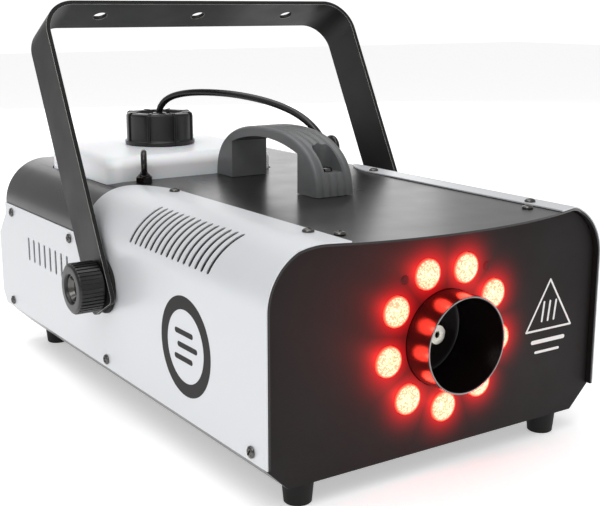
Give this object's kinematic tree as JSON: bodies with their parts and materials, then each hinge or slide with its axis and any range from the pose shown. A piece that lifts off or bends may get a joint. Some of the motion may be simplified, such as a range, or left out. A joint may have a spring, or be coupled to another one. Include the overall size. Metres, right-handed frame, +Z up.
{
  "type": "fog machine",
  "caption": "Horizontal fog machine with a ring of lamps round its nozzle, a fluid tank behind, a carry handle, and a tilting floor and hanging yoke.",
  "frame": {"origin": "on the floor under the centre of the whole machine's box", "axes": "+X to the right seen from the front, +Y from the nozzle to the rear, +Z up"},
  "size_m": [0.298, 0.4346, 0.274],
  "materials": {
    "black_steel": "satin black powder coat",
    "silver_steel": "satin silver powder coat",
    "yoke_steel": "fine textured black powder coat",
    "black_plastic": "matt moulded",
    "handle_plastic": "matt, ribbed",
    "gloss_tube": "gloss black",
    "rubber": "matt",
    "steel": "zinc plated",
    "brass": "nickel plated, machined",
    "aluminium": "cast",
    "tank_plastic": "translucent blow-moulded",
    "lamp_lens": "clear, lit red",
    "circuit_board": "solder mask",
    "insulation": "mineral wool",
    "display_window": "dark red filter"
  },
  "bodies": {
    "housing": {"base_tray": "black_steel", "front_panel": "black_steel", "rear_panel": "black_steel", "top_cover": "black_steel", "left_side_panel": "silver_steel", "right_side_panel": "silver_steel", "nozzle_collar": "gloss_tube", "nozzle_tip": "brass", "led_board": "circuit_board", "heater_block": "aluminium", "heating_element": "steel", "insulation_jacket": "insulation", "heater_bracket": "steel", "thermostat": "black_plastic", "pump_body": "steel", "pump_bracket": "steel", "suction_tube": "tank_plastic", "delivery_tube": "steel", "fluid_tank": "tank_plastic", "tank_cradle": "steel", "pickup_tube": "black_plastic", "suction_hose": "rubber", "hose_grommet": "rubber", "carry_handle": "handle_plastic", "handle_screw_front": "steel", "handle_screw_rear": "steel", "left_spacer": "rubber", "right_spacer": "rubber", "left_pivot_stud": "steel", "right_pivot_stud": "steel", "left_safety_eye": "black_steel", "right_safety_eye": "black_steel", "control_board": "circuit_board", "display_window": "display_window", "dmx_in": "black_plastic", "dmx_out": "black_plastic", "power_inlet": "black_plastic", "front_left_foot": "rubber", "front_right_foot": "rubber", "rear_left_foot": "rubber", "rear_right_foot": "rubber", "led_lens_1": "lamp_lens", "led_lens_2": "lamp_lens", "led_lens_3": "lamp_lens", "led_lens_4": "lamp_lens", "led_lens_5": "lamp_lens", "led_lens_6": "lamp_lens", "led_lens_7": "lamp_lens", "led_lens_8": "lamp_lens", "led_lens_9": "lamp_lens"},
    "yoke": {"yoke": "yoke_steel"},
    "left_knob": {"left_clamp_knob": "black_plastic"},
    "right_knob": {"right_clamp_knob": "black_plastic"},
    "cap": {"tank_cap": "black_plastic", "cap_gasket": "rubber"},
    "plunger": {"pump_plunger": "steel"},
    "rocker": {"power_switch": "black_plastic"},
    "menu_key": {"menu_button": "black_plastic"},
    "up_key": {"up_button": "black_plastic"},
    "down_key": {"down_button": "black_plastic"}
  },
  "joints": [
    {"name": "yoke_tilt", "type": "hinge", "parent": "housing", "child": "yoke", "pos_m": [0, 0.00725, 0.089], "axis": [1, 0, 0], "range_deg": [-36, 92]},
    {"name": "left_knob_turn", "type": "hinge", "parent": "housing", "child": "left_knob", "pos_m": [-0.131, 0.00725, 0.089], "axis": [-1, 0, 0], "continuous": true},
    {"name": "right_knob_turn", "type": "hinge", "parent": "housing", "child": "right_knob", "pos_m": [0.131, 0.00725, 0.089], "axis": [1, 0, 0], "continuous": true},
    {"name": "cap_turn", "type": "hinge", "parent": "housing", "child": "cap", "pos_m": [-0.033, 0.10325, 0.168], "axis": [0, 0, 1], "range_deg": [0, 360]},
    {"name": "pump_stroke", "type": "slide", "parent": "housing", "child": "plunger", "axis": [0, 1, 0], "range_m": [-0.0015, 0.0015], "stiffness_N_per_m": 800},
    {"name": "switch_rock", "type": "hinge", "parent": "housing", "child": "rocker", "pos_m": [0.076, 0.19425, 0.103], "axis": [1, 0, 0], "range_deg": [-14, 0]},
    {"name": "menu_press", "type": "slide", "parent": "housing", "child": "menu_key", "axis": [0, -1, 0], "range_m": [0, 0.001], "stiffness_N_per_m": 350},
    {"name": "up_press", "type": "slide", "parent": "housing", "child": "up_key", "axis": [0, -1, 0], "range_m": [0, 0.001], "stiffness_N_per_m": 350},
    {"name": "down_press", "type": "slide", "parent": "housing", "child": "down_key", "axis": [0, -1, 0], "range_m": [0, 0.001], "stiffness_N_per_m": 350}
  ]
}
